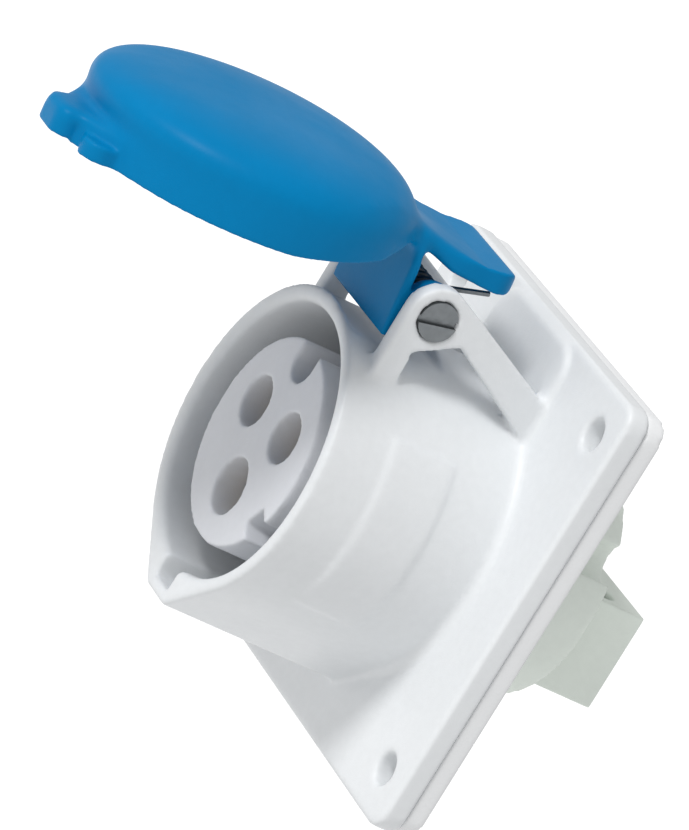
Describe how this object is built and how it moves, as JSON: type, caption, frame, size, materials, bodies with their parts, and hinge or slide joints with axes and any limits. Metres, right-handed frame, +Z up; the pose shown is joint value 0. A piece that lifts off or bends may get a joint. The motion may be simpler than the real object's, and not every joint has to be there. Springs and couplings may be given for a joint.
{
  "type": "panel socket-outlet",
  "caption": "Square-flanged panel socket-outlet for an industrial plug, with keyed round collar, sprung flap standing open, round contact carrier and rear terminal block.",
  "frame": {"origin": "centre of the square flange on the face that lies against the panel", "axes": "-Y points out of the panel towards the plug, +Z points up to the hinge, +X is to the right seen from the front"},
  "size_m": [0.075, 0.1256, 0.086],
  "materials": {
    "housing_plastic": "fine moulded satin",
    "flap_plastic": "fine moulded satin",
    "carrier_plastic": "matt moulded",
    "terminal_plastic": "matt moulded",
    "flange_rubber": "matt",
    "seal_rubber": "matt",
    "contact_brass": "bare drawn",
    "zinc_steel": "zinc plated"
  },
  "bodies": {
    "socket": {"housing": "housing_plastic", "flange_gasket": "flange_rubber", "contact_carrier": "carrier_plastic", "carrier_seal": "seal_rubber", "terminal_housing": "terminal_plastic", "line_contact": "contact_brass", "neutral_contact": "contact_brass", "earth_contact": "contact_brass", "line_spring_ring": "zinc_steel", "neutral_spring_ring": "zinc_steel", "earth_spring_ring": "zinc_steel", "line_clamp_screw": "zinc_steel", "neutral_clamp_screw": "zinc_steel", "earth_clamp_screw": "zinc_steel", "assembly_screws": "zinc_steel", "hinge_pin": "zinc_steel", "pin_clip": "zinc_steel", "hinge_spring": "zinc_steel"},
    "lid": {"lid_cover": "flap_plastic", "lid_seal_ring": "seal_rubber"}
  },
  "joints": [
    {"name": "lid_hinge", "type": "hinge", "parent": "socket", "child": "lid", "pos_m": [0, -0.0307, 0.0319], "axis": [-1, 0, 0], "range_deg": [-82.5, 12], "deforming": ["hinge_spring"]}
  ]
}
